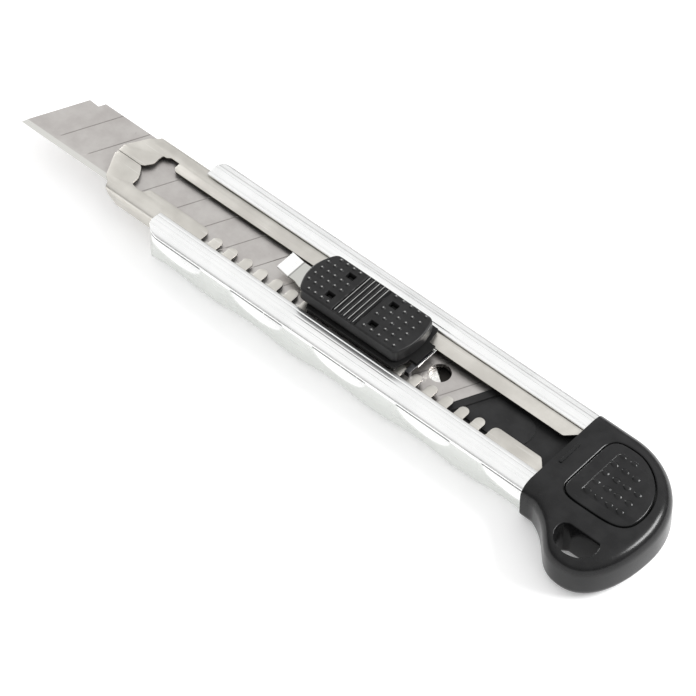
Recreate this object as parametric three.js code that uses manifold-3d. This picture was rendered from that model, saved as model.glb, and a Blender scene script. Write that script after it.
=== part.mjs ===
// A snap-off utility knife with a spare-blade magazine, as an assembly of its real pieces.
// Millimetres. +X runs to the blade's tip, +Y to the finger grooves and the cutting edge,
// +Z to the thumb slider. The origin is the middle of the casing's flat back.

import * as THREE from "three";
import { mergeVertices } from "three/addons/utils/BufferGeometryUtils.js";
import Module from "manifold-3d";

const wasm = await Module();
wasm.setup();

// ---- Driving dimensions -------------------------------------------------------------

const GAP = 0.3; // clearance between pieces that meet

const CASING = {
  length: 121, halfWidth: 14.8, railTop: 11.5, railInner: 8.4, railUnder: 10.75,
  floor: 1.8, creaseHeight: 9.8, backRadius: 2.6, cornerRadius: 5,
  wavePitch: 26.6, waveDepth: 1.2, firstHollow: 52.5, bulkhead: 9,
};
const CHANNEL = {
  front: 82.6, shoulder: 77.4, halfWidth: 10.6, top: 10.5, bottom: 4.9, sheet: 0.6,
  slotFront: 74.2, windowFront: 72.9, windowRear: 68, windowHalf: 6.1, slotHalf: 4.2,
};
const TEETH = { first: 44.2, pitch: 4.943, count: 18, halfWidth: 1.42, tip: 4.55, root: 8.0 };
const BLADE = {
  tip: 108, edge: 8.2, width: 18, length: 104.5, thick: 0.5, lean: 25.8, bevel: 2,
  topSurface: 9.2, scorePitch: 9.2, scores: 8, scoreDepth: 0.12,
  holeRadius: 2.85, holeFromTail: 10.5, holeY: -0.35,
};
const STACK = { behind: 31.8, step: 0.7 }; // spares lie this far back and this far down
const CAP = {
  front: -CASING.length / 2, bottom: 0.2, top: 12.1, round: 3.6, halfWidth: 15.4,
  toe: -92.5, holeStraight: 15.7, spigot: 12,
};
const SLIDER = {
  rear: -15.7, front: 18.5, halfWidth: 7.1, top: 16.4, skirt: 12.6, roof: 1.4,
  ribCentre: 2.4, ribPitch: 1.46, ribs: 5, hookX: 6.85, hookY: 3.8,
};
const BASE = {
  rear: -16.3, front: 15.6, halfWidth: 8, plugHalf: 5.8, bottom: 11.8, top: 13.8,
  skirtBottom: 10.8, skirtInner: 6.95, tailRear: -17.95, tailHalf: 3.5, hookBelow: 1.1,
};
const CARRIER = {
  tabTip: 27.2, tabFold: 23.7, rear: -18.35, flangeFront: 12.5, flangeRear: -11.5,
  flangeHalf: 5.8, sheet: 0.4, flangeTop: 9.75, stripTop: 11.2, halfWidth: 3.6,
};
const RIVETS = { front: 3.2, rear: -8, radius: 1.1, head: 1.9 };
const PIN = { radius: 2.2, clearance: 0.2 };
const FRAME_RIVET = { bore: 1.7, recess: 3, recessDepth: 1.1, side: 6 };
const LIFTER = {
  rear: -28, farRear: -12.5, cornerY: 4, front: 52.2, farY: -7, nearY: 6, thick: 0.5, springRise: 0.72,
};
const TONGUE = { rear: -65.5, top: 8.6, relief: 0.3, ridge: 2.4, gapToSpare: 0.35 };

const bladeLean = Math.tan(THREE.MathUtils.degToRad(BLADE.lean));
const halfCasing = CASING.length / 2;
const holderX = halfCasing - CASING.bulkhead / 2;

// ---- Materials ----------------------------------------------------------------------

const finish = (color, roughness, metalness) =>
  new THREE.MeshStandardMaterial({ color, roughness, metalness });
const alloy = finish(0xe4e6e4, 0.28, 1);
const channelSteel = finish(0xcfccc4, 0.34, 1);
const bladeSteel = finish(0xbfbab5, 0.3, 1);
const springSteel = finish(0xd9d8d2, 0.25, 1);
const blackPlastic = finish(0x333333, 0.45, 0);

// ---- Solids: making, joining and cutting --------------------------------------------

function toSolid(geometry) {
  const bare = geometry.index ? geometry.toNonIndexed() : geometry.clone();
  for (const name of Object.keys(bare.attributes)) {
    if (name !== "position") bare.deleteAttribute(name);
  }
  const merged = mergeVertices(bare, 1e-4);
  return new wasm.Manifold(new wasm.Mesh({
    numProp: 3,
    vertProperties: new Float32Array(merged.attributes.position.array),
    triVerts: new Uint32Array(merged.index.array),
  }));
}

function toGeometry(solid) {
  const mesh = solid.getMesh();
  const geometry = new THREE.BufferGeometry();
  geometry.setAttribute("position", new THREE.BufferAttribute(new Float32Array(mesh.vertProperties), 3));
  geometry.setIndex(new THREE.BufferAttribute(new Uint32Array(mesh.triVerts), 1));
  geometry.computeVertexNormals();
  return geometry;
}

const join = (...solids) => solids.reduce((whole, next) => whole.add(next));
const cut = (whole, ...tools) => tools.reduce((rest, tool) => rest.subtract(tool), whole);

function block(x0, x1, y0, y1, z0, z1) {
  const box = new THREE.BoxGeometry(x1 - x0, y1 - y0, z1 - z0);
  return toSolid(box.translate((x0 + x1) / 2, (y0 + y1) / 2, (z0 + z1) / 2));
}

function post(x, y, radius, z0, z1, sides = 28) {
  const rod = new THREE.CylinderGeometry(radius, radius, z1 - z0, sides).rotateX(Math.PI / 2);
  return toSolid(rod.translate(x, y, (z0 + z1) / 2));
}

const shapeOf = (points) => new THREE.Shape(points.map(([a, b]) => new THREE.Vector2(a, b)));

// A plan outline in X and Y, raised from z0 to z1.
function plate(shape, z0, z1, curveSegments = 10) {
  const slab = new THREE.ExtrudeGeometry(shape, { depth: z1 - z0, bevelEnabled: false, curveSegments });
  return toSolid(slab.translate(0, 0, z0));
}

// A section in Y and Z, run along X from x0 to x1.
function bar(shape, x0, x1, curveSegments = 6) {
  const run = new THREE.ExtrudeGeometry(shape, { depth: x1 - x0, bevelEnabled: false, curveSegments });
  const turn = new THREE.Matrix4().set(0, 0, 1, x0, 1, 0, 0, 0, 0, 1, 0, 0, 0, 0, 0, 1);
  return toSolid(run.applyMatrix4(turn));
}

// A profile in X and Z, run across Y from y0 to y1.
function strip(points, y0, y1) {
  const run = new THREE.ExtrudeGeometry(shapeOf(points), { depth: y1 - y0, bevelEnabled: false });
  const turn = new THREE.Matrix4().set(1, 0, 0, 0, 0, 0, -1, y1, 0, 1, 0, 0, 0, 0, 0, 1);
  return toSolid(run.applyMatrix4(turn));
}

// ---- Casing: die-cast alloy trough with two rails and finger waves -------------------

function casingSection() {
  const { halfWidth, backRadius, railTop, railInner, creaseHeight } = CASING;
  const right = new THREE.Shape();
  right.moveTo(0, 0);
  right.lineTo(halfWidth - backRadius, 0);
  right.absarc(halfWidth - backRadius, backRadius, backRadius, -Math.PI / 2, 0, false);
  right.lineTo(halfWidth, creaseHeight - 1.6);
  right.quadraticCurveTo(halfWidth, railTop - 0.2, halfWidth - 3.4, railTop);
  right.quadraticCurveTo(railInner + 1, railTop - 0.1, railInner, railTop - 0.45);
  const half = right.getPoints(6);
  const mirrored = half.slice(1).reverse().map((p) => new THREE.Vector2(-p.x, p.y));
  return new THREE.Shape([...half, ...mirrored]);
}

// Plan of the casing: wavy on the finger side below the rail, straight everywhere else.
function casingPlan(wavy) {
  const { halfWidth, cornerRadius, wavePitch, waveDepth, firstHollow } = CASING;
  const plan = new THREE.Shape();
  plan.moveTo(-halfCasing, -halfWidth);
  plan.lineTo(halfCasing - cornerRadius, -halfWidth);
  plan.quadraticCurveTo(halfCasing - 0.4, -halfWidth, halfCasing, -halfWidth + 3.4);
  plan.lineTo(halfCasing, halfWidth - 3.4);
  plan.quadraticCurveTo(halfCasing - 0.4, halfWidth, halfCasing - cornerRadius, halfWidth);
  const steps = wavy ? 48 : 1;
  for (let i = 1; i <= steps; i += 1) {
    const x = halfCasing - cornerRadius - ((CASING.length - cornerRadius) * i) / steps;
    const phase = (2 * Math.PI * (x - firstHollow)) / wavePitch;
    const dip = wavy ? (waveDepth * (1 + Math.cos(phase))) / 2 : 0;
    plan.lineTo(x, halfWidth - dip);
  }
  return plan;
}

function makeCasing() {
  const { creaseHeight, railTop, railUnder, railInner, floor, bulkhead } = CASING;
  const body = bar(casingSection(), -halfCasing, halfCasing);
  const lower = body.intersect(plate(casingPlan(true), 0, creaseHeight));
  const upper = body.intersect(plate(casingPlan(false), creaseHeight - 0.5, railTop + 1));
  const pocketHalf = CHANNEL.halfWidth + GAP;
  const pocketFloor = CHANNEL.bottom - GAP;
  const past = halfCasing + 1;
  return cut(
    join(lower, upper),
    block(-past, past, -pocketHalf, pocketHalf, pocketFloor, railUnder),
    block(-past, past, -railInner, railInner, pocketFloor, railTop + 1),
    block(-past, halfCasing - bulkhead, -9, 9, floor, pocketFloor + 1),
    ...channelRivets().map(([x, y]) => post(x, y, FRAME_RIVET.bore, -1, pocketFloor + 1, 20)),
    ...channelRivets().map(([x, y]) => post(x, y, FRAME_RIVET.recess, -1, FRAME_RIVET.recessDepth, 24)),
  );
}

// ---- Blade channel: bent steel sheet, open along the top between two lips ------------

const channelRivets = () => [-1, 1].map((side) => [holderX, side * FRAME_RIVET.side]);

function slotPlan() {
  const { slotFront, windowFront, windowRear, windowHalf, slotHalf } = CHANNEL;
  const half = [
    [slotFront, 0.4], [windowFront, 2.7], [windowFront - 0.2, windowHalf],
    [windowRear + 2.4, windowHalf], [windowRear, windowHalf], [windowRear - 0.2, 5],
    [windowRear - 1, slotHalf],
  ];
  const rear = [[-57.4, slotHalf], [-60.3, 7]];
  const near = [...half, ...rear, [-62, 7]];
  const far = near.map(([x, y]) => [x, -y]).reverse();
  return shapeOf([...near, ...far]);
}

// The comb on the finger-side lip: the gaps between the round-topped teeth.
function toothGaps() {
  const { first, pitch, count, halfWidth, tip, root } = TEETH;
  const shoulderY = tip + halfWidth;
  const mouth = CHANNEL.slotHalf - 0.1;
  const rearOfLastGap = first - pitch * (count - 1) - pitch + halfWidth;
  const comb = new THREE.Shape();
  comb.moveTo(first + pitch, mouth);
  comb.absarc(first + pitch, shoulderY - 0.3, halfWidth, -Math.PI / 2, -Math.PI, true);
  comb.lineTo(first + pitch - halfWidth, root);
  for (let i = 0; i < count; i += 1) {
    const x = first - pitch * i;
    comb.lineTo(x + halfWidth, root);
    comb.lineTo(x + halfWidth, shoulderY);
    comb.absarc(x, shoulderY, halfWidth, 0, -Math.PI, true);
    comb.lineTo(x - halfWidth, root);
  }
  comb.lineTo(rearOfLastGap, root);
  comb.lineTo(rearOfLastGap, 5.2);
  comb.lineTo(rearOfLastGap - 1.3, mouth);
  return comb;
}

function makeChannel() {
  const { front, shoulder, halfWidth, top, bottom, sheet } = CHANNEL;
  const rear = -halfCasing + GAP;
  const nose = shapeOf([
    [rear, -halfWidth], [shoulder, -halfWidth], [shoulder + 1.8, -8], [front, -2.2],
    [front, 1.2], [shoulder + 1.8, 8], [shoulder, halfWidth], [rear, halfWidth],
  ]);
  const section = new THREE.Shape();
  const bend = 1.2;
  section.moveTo(-halfWidth + bend, bottom);
  section.lineTo(halfWidth - bend, bottom);
  section.absarc(halfWidth - bend, bottom + bend, bend, -Math.PI / 2, 0, false);
  section.absarc(halfWidth - bend, top - bend, bend, 0, Math.PI / 2, false);
  section.absarc(-halfWidth + bend, top - bend, bend, Math.PI / 2, Math.PI, false);
  section.absarc(-halfWidth + bend, bottom + bend, bend, Math.PI, 1.5 * Math.PI, false);
  const sheetBody = bar(section, rear, front + 1, 4).intersect(plate(nose, bottom - 1, top + 1));
  const inner = halfWidth - sheet;
  const chin = strip([[shoulder - 4.6, bottom - 1], [front + 2, bottom - 1], [front + 2, top - 1.3],
    [shoulder - 0.4, top - 1.3]], -halfWidth - 1, halfWidth + 1);
  return cut(
    sheetBody,
    block(rear - 1, front + 2, -inner, inner, bottom + sheet, top - sheet),
    plate(slotPlan(), top - 2, top + 1),
    plate(toothGaps(), top - 2, top + 1, 5),
    chin,
    ...channelRivets().map(([x, y]) => post(x, y, FRAME_RIVET.bore, bottom - 1, bottom + 1, 20)),
  );
}

function makeChannelRivet([x, y]) {
  const floorTop = CHANNEL.bottom + CHANNEL.sheet;
  const headTop = floorTop + 0.75;
  const profile = [[0, 0.25], [2.7, 0.25], [2.7, 0.8], [1.4, 0.8], [1.4, floorTop + 0.15],
    [2.4, floorTop + 0.15], [2.2, headTop - 0.1], [0, headTop]];
  return turned(profile, x, y);
}

function turned(profile, x, y, sides = 24) {
  const points = profile.map(([r, z]) => new THREE.Vector2(r, z));
  const lathe = new THREE.LatheGeometry(points, sides).rotateX(Math.PI / 2);
  return toSolid(lathe.translate(x, y, 0));
}

// ---- Blades: scored carbon steel strips, ground on one long edge ---------------------

// One blade, its tip at tipX and its upper face at height top.
function makeBlade(tipX, top, clipped) {
  const { edge, width, length, thick, bevel, scorePitch, scores, scoreDepth } = BLADE;
  const back = edge - width;
  const section = shapeOf([
    [back, top - thick], [edge - bevel, top - thick], [edge, top - thick / 2 - 0.04],
    [edge, top - thick / 2 + 0.04], [edge - bevel, top], [back, top],
  ]);
  const endAt = (x, y) => [x - (edge - y) * bladeLean, y];
  const front = clipped
    ? [endAt(tipX, back + 1.6), [tipX - 11, back + 1.8], [tipX - 12.3, back - 1]]
    : [endAt(tipX, back - 1)];
  const plan = shapeOf([
    endAt(tipX, edge + 1), ...front,
    endAt(tipX - length, back - 1), endAt(tipX - length, edge + 1),
  ]);
  const tail = tipX - length - (width / 2) * bladeLean;
  const strap = bar(section, tipX - length - width, tipX + 2).intersect(plate(plan, top - 2, top + 1));
  const lines = [];
  for (let i = 1; i <= scores; i += 1) {
    lines.push(scoreLine(tipX - i * scorePitch, top, scoreDepth));
  }
  const hole = post(tail + BLADE.holeFromTail, BLADE.holeY, BLADE.holeRadius, top - 2, top + 1);
  return cut(strap, hole, ...lines);
}

// A shallow V across the blade's upper face, parallel to its slanted end.
function scoreLine(x, top, depth) {
  const { edge, width } = BLADE;
  const wide = 0.22;
  const groove = shapeOf([[-wide, top + 0.1], [0, top - depth], [wide, top + 0.1]]);
  const run = new THREE.ExtrudeGeometry(groove, { depth: width + 4, bevelEnabled: false });
  const shear = new THREE.Matrix4().set(
    1, 0, -bladeLean, x + 2 * bladeLean,
    0, 0, -1, edge + 2,
    0, 1, 0, 0,
    0, 0, 0, 1,
  );
  return toSolid(run.applyMatrix4(shear));
}

// ---- Magazine: pressure plate, leaf spring and the tongue behind the spares ----------

function makeLifterPlate() {
  const { rear, farRear, cornerY, front, farY, nearY, thick } = LIFTER;
  const top = BLADE.topSurface - 3 * STACK.step;
  const outline = shapeOf([
    [farRear, farY], [front - 6, farY], [front, (farY + nearY) / 2], [front - 6, nearY],
    [rear, nearY], [rear, cornerY],
  ]);
  return plate(outline, top - thick, top);
}

function makeLifterSpring() {
  const floorTop = CHANNEL.bottom + CHANNEL.sheet + 0.08;
  const rise = LIFTER.springRise;
  const [rear, front, steps, thick] = [LIFTER.rear + 8, LIFTER.front - 6, 24, 0.25];
  const along = (i) => rear + ((front - rear) * i) / steps;
  const bow = (i) => floorTop + (rise * (1 - Math.cos((2 * Math.PI * i * 2) / steps))) / 2;
  const profile = [];
  for (let i = 0; i <= steps; i += 1) profile.push([along(i), bow(i)]);
  for (let i = steps; i >= 0; i -= 1) profile.push([along(i), bow(i) + thick]);
  return strip(profile, -4, 3);
}

function makeMagazineTongue() {
  const half = CHANNEL.halfWidth - CHANNEL.sheet - GAP;
  const bed = CHANNEL.bottom + CHANNEL.sheet + GAP;
  const { top, rear, relief, ridge: ridgeWidth } = TONGUE;
  const tail = BLADE.tip - STACK.behind - BLADE.length - TONGUE.gapToSpare;
  const slant = (offset, y) => [tail - offset - (BLADE.edge - y) * bladeLean, y];
  const sole = shapeOf([slant(0, half), slant(0, -half), [rear, -half], [rear, half]]);
  const ridge = shapeOf([
    slant(0, half), slant(0, -half), slant(ridgeWidth, -half), slant(ridgeWidth, half),
  ]);
  const pad = new THREE.Shape();
  pad.moveTo(-37.6, -3.9);
  pad.lineTo(-46.5, -3.9);
  pad.quadraticCurveTo(-51.4, -3.9, -51.4, 1.2);
  pad.quadraticCurveTo(-51.4, 6.2, -46.5, 6.2);
  pad.lineTo(-34.6, 6.2);
  const raised = [ridge, pad].map((shape) => plate(shape, top - relief, top + relief));
  return join(plate(sole, bed, top), ...raised);
}

// ---- End cap: moulded heel with a lanyard hole, pulled off to load spares -------------

function capPlan(inset) {
  const { front, halfWidth, toe } = CAP;
  const lead = front + 8;
  const plan = new THREE.Shape();
  plan.moveTo(lead, -halfWidth + inset);
  plan.lineTo(-71, -halfWidth + inset);
  plan.bezierCurveTo(-81, -halfWidth + inset, toe + inset, -8, toe + inset, 5.5);
  plan.bezierCurveTo(toe + inset, 16, -89, 25.4 - inset, -80.5, 25.4 - inset);
  plan.bezierCurveTo(-72.4 - inset, 25.4 - inset, -73, 15.4 - inset + 3.4, -64, 15.4 - inset);
  plan.lineTo(lead, 15.4 - inset);
  return plan;
}

function lanyardPlan() {
  const { holeStraight } = CAP;
  const hole = new THREE.Shape();
  hole.moveTo(-75, holeStraight);
  hole.bezierCurveTo(-72.8, holeStraight + 3.2, -75, 22.6, -80, 22.8);
  hole.bezierCurveTo(-85, 22.6, -87, holeStraight + 3, -84.7, holeStraight);
  return hole;
}

function padPlan(grow) {
  const pad = new THREE.Shape();
  pad.moveTo(-67.6 + grow, 6.2);
  pad.bezierCurveTo(-67.6 + grow, 10.4 + grow, -72, 9.8 + grow, -76, 9.8 + grow);
  pad.bezierCurveTo(-84, 9.8 + grow, -87.5 - grow, 9.4 + grow, -87.5 - grow, 3.2);
  pad.bezierCurveTo(-87.5 - grow, -4.6, -80, -10.6 - grow, -74, -10.6 - grow);
  pad.bezierCurveTo(-70, -10.6 - grow, -67.6 + grow, -10.4 - grow, -67.6 + grow, -6);
  return pad;
}

function makeEndCap() {
  const { front, bottom, top, round, spigot } = CAP;
  const shell = new THREE.ExtrudeGeometry(capPlan(round), {
    depth: top - bottom - 2 * round, bevelEnabled: true, bevelSize: round, bevelThickness: round,
    bevelSegments: 5, curveSegments: 16,
  });
  const heel = cut(
    toSolid(shell.translate(0, 0, bottom + round)),
    block(front, front + 30, -30, 30, -5, 30),
  );
  const half = CHANNEL.halfWidth;
  const spigotBar = block(
    front - 1, front + spigot, -8.6, 8.6, CASING.floor + GAP, CHANNEL.bottom - 2 * GAP,
  );
  return cut(
    join(heel, spigotBar),
    plate(lanyardPlan(), -2, 14),
    plate(padPlan(0.3), top - 1.2, top + 2),
    block(front - 5.6, front + 1, -half + 0.6, half - 0.6, CHANNEL.bottom + 0.4, 9.2),
    block(front - 5.6, front + spigot + 1, -3.3, 3.3, CASING.floor - 0.1, CASING.floor + 1.1),
  );
}

function makeCapPad() {
  const { top } = CAP;
  return plate(padPlan(0), top - 0.9, top + 0.6);
}

function makeCapClip() {
  const { front, spigot } = CAP;
  const [rear, tip, steps, thick] = [front - 5, front + spigot - 1.6, 12, 0.25];
  const bow = (i) => CASING.floor + 0.12 + 0.5 * (1 - Math.sin((Math.PI * i) / steps));
  const profile = [];
  for (let i = 0; i <= steps; i += 1) profile.push([rear + ((tip - rear) * i) / steps, bow(i)]);
  for (let i = steps; i >= 0; i -= 1) profile.push([rear + ((tip - rear) * i) / steps, bow(i) + thick]);
  return strip(profile, -3, 3);
}

// ---- Slider: moulded button and base on a folded steel carrier ------------------------

function sliderPlan(inset, bulgeFront, bulgeRear) {
  const { rear, front, halfWidth } = SLIDER;
  const side = halfWidth - inset;
  const plan = new THREE.Shape();
  plan.moveTo(rear + bulgeRear + inset, -side);
  plan.lineTo(front - bulgeFront - inset, -side);
  plan.quadraticCurveTo(front + bulgeFront * 0.7 - inset, 0, front - bulgeFront - inset, side);
  plan.lineTo(rear + bulgeRear + inset, side);
  plan.quadraticCurveTo(rear - bulgeRear * 0.7 + inset, 0, rear + bulgeRear + inset, -side);
  return plan;
}

const hookPlaces = () => [-1, 1].flatMap((a) =>
  [-1, 1].map((b) => [SLIDER.ribCentre + a * SLIDER.hookX, b * SLIDER.hookY]));

function makeSliderButton() {
  const { top, skirt, roof, ribs, ribPitch, ribCentre, halfWidth } = SLIDER;
  const edge = 0.5;
  const shell = new THREE.ExtrudeGeometry(sliderPlan(edge, 2.4, 1.6), {
    depth: top - skirt - 2 * edge, bevelEnabled: true, bevelSize: edge, bevelThickness: edge,
    bevelSegments: 2, curveSegments: 14,
  });
  let button = cut(
    toSolid(shell.translate(0, 0, skirt + edge)),
    plate(sliderPlan(1, 2.4, 1.6), skirt - 1, top - roof),
    ...hookPlaces().map(([x, y]) => block(x - 1.15, x + 1.15, y - 0.8, y + 0.8, top - 4, top + 1)),
  );
  for (let i = 0; i < ribs; i += 1) {
    const x = ribCentre + (i - (ribs - 1) / 2) * ribPitch;
    const ridge = [[x - 0.45, top - 0.3], [x + 0.45, top - 0.3], [x + 0.2, top + 0.4], [x - 0.2, top + 0.4]];
    button = button.add(strip(ridge, -halfWidth + 0.6, halfWidth - 0.6));
  }
  return button;
}

function makeSliderBase() {
  const { rear, front, halfWidth, plugHalf, bottom, top, skirtBottom, skirtInner } = BASE;
  const { tailRear, tailHalf, hookBelow } = BASE;
  const plan = new THREE.Shape();
  plan.moveTo(rear + 1.4, -halfWidth);
  plan.lineTo(front - 2.4, -halfWidth);
  plan.quadraticCurveTo(front + 2.4, 0, front - 2.4, halfWidth);
  plan.lineTo(rear + 1.4, halfWidth);
  plan.quadraticCurveTo(rear - 1.4, 0, rear + 1.4, -halfWidth);
  const hooks = hookPlaces().map(([x, y]) =>
    block(x - 0.8, x + 0.8, y - 0.45, y + 0.45, top - 0.5, SLIDER.top - hookBelow));
  const foot = block(7.2, 13, -3, 3, CARRIER.stripTop + 0.15, bottom + 0.5);
  const sole = plate(plan, bottom, SLIDER.skirt - GAP);
  const tail = block(tailRear, rear + 3, -tailHalf, tailHalf, bottom, SLIDER.skirt - GAP);
  const plug = plate(sliderPlan(1 + GAP, 2.4, 1.6), bottom, top).intersect(
    block(rear, front + 1, -plugHalf, plugHalf, bottom, top),
  );
  const skirts = [[-halfWidth, -skirtInner], [skirtInner, halfWidth]].map(([y0, y1]) =>
    block(rear + 1.6, front - 2.6, y0, y1, skirtBottom, bottom + 0.2));
  return cut(
    join(sole, tail, plug, foot, ...skirts, ...hooks),
    post(RIVETS.front, 0, RIVETS.radius + GAP, bottom - 1, top + 1, 20),
    post(RIVETS.rear, 0, RIVETS.radius + GAP, bottom - 1, top + 1, 20),
  );
}

function makeSliderCarrier() {
  const { tabTip, tabFold, rear, flangeFront, flangeRear, flangeHalf, sheet } = CARRIER;
  const { flangeTop, stripTop, halfWidth } = CARRIER;
  const lip = 0.9;
  const tabHalf = 2.95;
  const low = stripTop - sheet;
  const top = plate(shapeOf([
    [rear, -3.3], [rear + 3, -halfWidth], [19.6, -halfWidth], [21.4, -tabHalf], [tabFold, -tabHalf],
    [tabFold, tabHalf], [21.4, tabHalf], [19.6, halfWidth], [rear + 3, halfWidth], [rear, 3.3],
  ]), low, stripTop);
  const tab = strip([[tabFold - 0.3, low], [tabFold, low], [tabTip, low + lip],
    [tabTip, stripTop + lip], [tabFold, stripTop], [tabFold - 0.3, stripTop]], -tabHalf, tabHalf);
  const flange = block(flangeRear, flangeFront, -flangeHalf, flangeHalf, flangeTop - sheet, flangeTop);
  const webs = [-1, 1].map((side) => {
    const [a, b] = [side * halfWidth, side * (halfWidth - sheet)];
    return block(flangeRear, flangeFront, Math.min(a, b), Math.max(a, b), flangeTop - sheet, stripTop);
  });
  return cut(
    join(top, tab, flange, ...webs),
    post(pinX(), BLADE.holeY, PIN.radius + PIN.clearance, flangeTop - 2, flangeTop + 0.2),
    post(RIVETS.front, 0, RIVETS.radius + GAP, low - 0.2, stripTop + 1, 20),
    post(RIVETS.rear, 0, RIVETS.radius + GAP, low - 0.2, stripTop + 1, 20),
  );
}

function pinX() {
  const tail = BLADE.tip - BLADE.length - (BLADE.width / 2) * bladeLean;
  return tail + BLADE.holeFromTail;
}

// The pin stands in the blade's hole and is held between the carrier's flange and its strip.
function makeBladePin() {
  const low = BLADE.topSurface - BLADE.thick + 0.1;
  const high = CARRIER.stripTop - CARRIER.sheet - 0.15;
  const { radius } = PIN;
  const profile = [[0, low], [radius - 0.3, low], [radius, low + 0.2], [radius, high], [0, high]];
  return turned(profile, pinX(), BLADE.holeY, 28);
}

// A flat spring on top of the carrier, its arm turned down into a gap between two teeth.
function makeDetentSpring() {
  const notch = TEETH.first - TEETH.pitch * 12.5;
  const [low, high] = [CARRIER.stripTop + 0.08, CARRIER.stripTop + 0.38];
  const leaf = block(notch - 0.7, -1, -2.4, 2.4, low, high);
  const arm = block(notch - 0.7, notch + 0.7, 0, 6.6, low, high);
  const tooth = block(notch - 0.7, notch + 0.7, 5.6, 6.6, CHANNEL.top - 0.5, high);
  return cut(join(leaf, arm, tooth), post(RIVETS.rear, 0, RIVETS.radius + GAP, low - 1, high + 1, 20));
}

function makeSliderRivet(x) {
  const { radius, head } = RIVETS;
  const under = CARRIER.stripTop - CARRIER.sheet - 0.08;
  const over = BASE.top + 0.08;
  const profile = [[0, under - 0.5], [head - 0.3, under - 0.5], [head, under - 0.2], [head, under],
    [radius, under], [radius, over], [head, over], [head, over + 0.3], [head - 0.5, over + 0.6],
    [0, over + 0.6]];
  return turned(profile, x, 0);
}

// ---- Assembly -------------------------------------------------------------------------

const knife = new THREE.Group();

function add(name, solid, material, parent = knife) {
  const mesh = new THREE.Mesh(toGeometry(solid), material);
  mesh.name = name;
  parent.add(mesh);
}

const handle = new THREE.Group();
add("casing", makeCasing(), alloy, handle);
add("blade_channel", makeChannel(), channelSteel, handle);
add("channel_rivet_far", makeChannelRivet(channelRivets()[0]), springSteel, handle);
add("channel_rivet_near", makeChannelRivet(channelRivets()[1]), springSteel, handle);
add("lifter_spring", makeLifterSpring(), springSteel, handle);

const spares = new THREE.Group();
const spareTip = BLADE.tip - STACK.behind;
add("spare_blade_upper", makeBlade(spareTip, BLADE.topSurface - STACK.step, false), bladeSteel, spares);
add("spare_blade_lower", makeBlade(spareTip, BLADE.topSurface - 2 * STACK.step, false), bladeSteel, spares);
add("lifter_plate", makeLifterPlate(), springSteel, spares);

const slider = new THREE.Group();
add("working_blade", makeBlade(BLADE.tip, BLADE.topSurface, true), bladeSteel, slider);
add("slider_button", makeSliderButton(), blackPlastic, slider);
add("slider_base", makeSliderBase(), blackPlastic, slider);
add("slider_carrier", makeSliderCarrier(), springSteel, slider);
add("blade_pin", makeBladePin(), springSteel, slider);
add("detent_spring", makeDetentSpring(), springSteel, slider);
add("slider_rivet_front", makeSliderRivet(RIVETS.front), springSteel, slider);
add("slider_rivet_rear", makeSliderRivet(RIVETS.rear), springSteel, slider);

const cap = new THREE.Group();
add("end_cap", makeEndCap(), blackPlastic, cap);
add("cap_pad", makeCapPad(), blackPlastic, cap);
add("cap_clip", makeCapClip(), springSteel, cap);
add("magazine_tongue", makeMagazineTongue(), blackPlastic, cap);

knife.add(handle, spares, slider, cap);

export default knife;
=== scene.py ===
"""A snap-off utility knife with a spare-blade magazine, finished piece by piece around its frame.

Sizes are in millimetres in the knife's own frame: x runs to the blade's tip, y to the cutting
edge and the finger waves, z to the thumb slider. A mesh is scaled to metres when it is made.
"""
import math
from math import cos, exp, hypot, pi, sin, sqrt

import bmesh
import bpy
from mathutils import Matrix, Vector
from mathutils.geometry import tessellate_polygon


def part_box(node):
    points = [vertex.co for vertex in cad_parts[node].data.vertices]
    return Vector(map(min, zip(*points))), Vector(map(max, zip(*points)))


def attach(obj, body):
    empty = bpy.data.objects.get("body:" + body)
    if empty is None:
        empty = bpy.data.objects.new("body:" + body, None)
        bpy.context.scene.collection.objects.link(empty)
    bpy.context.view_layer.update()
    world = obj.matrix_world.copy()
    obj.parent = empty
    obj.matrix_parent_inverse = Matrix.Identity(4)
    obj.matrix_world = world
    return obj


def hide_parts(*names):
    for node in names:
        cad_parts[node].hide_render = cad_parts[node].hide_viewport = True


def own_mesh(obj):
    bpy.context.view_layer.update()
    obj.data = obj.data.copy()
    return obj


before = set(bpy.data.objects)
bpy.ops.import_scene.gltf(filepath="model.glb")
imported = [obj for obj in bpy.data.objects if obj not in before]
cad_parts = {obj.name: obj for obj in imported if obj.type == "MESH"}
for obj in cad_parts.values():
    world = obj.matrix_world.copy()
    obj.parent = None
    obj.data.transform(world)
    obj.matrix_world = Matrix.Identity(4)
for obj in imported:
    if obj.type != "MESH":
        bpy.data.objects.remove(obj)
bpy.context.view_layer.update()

# ---- Casing --------------------------------------------------------------------------
# A die-cast alloy trough with a rail along each side. The rails' tops are drawn with fine
# flutes, and the finger side is scooped out five times below a crease under its rail.
MM = 0.001


def node_box(node):
    """The lowest and highest corners of a node, in millimetres."""
    low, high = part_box(node)
    return low / MM, high / MM


def piece(name, vertices, faces, soft_angle=35):
    """A new object from points in millimetres, smooth where faces meet at less than soft_angle."""
    mesh = bpy.data.meshes.new(name)
    mesh.from_pydata([Vector(v) * MM for v in vertices], [], faces)
    made = bpy.data.objects.new(name, mesh)
    bpy.context.scene.collection.objects.link(made)
    return smooth(made, soft_angle)


def smooth(made, soft_angle=35):
    """Faces outwards, drops doubled points, and shades the shallow edges smooth."""
    work = bmesh.new()
    work.from_mesh(made.data)
    bmesh.ops.remove_doubles(work, verts=work.verts, dist=0.002 * MM)
    bmesh.ops.recalc_face_normals(work, faces=work.faces)
    for face in work.faces:
        face.smooth = True
    limit = math.radians(soft_angle)
    for edge in work.edges:
        edge.smooth = len(edge.link_faces) == 2 and edge.calc_face_angle(0) < limit
    work.to_mesh(made.data)
    work.free()
    return made


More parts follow.
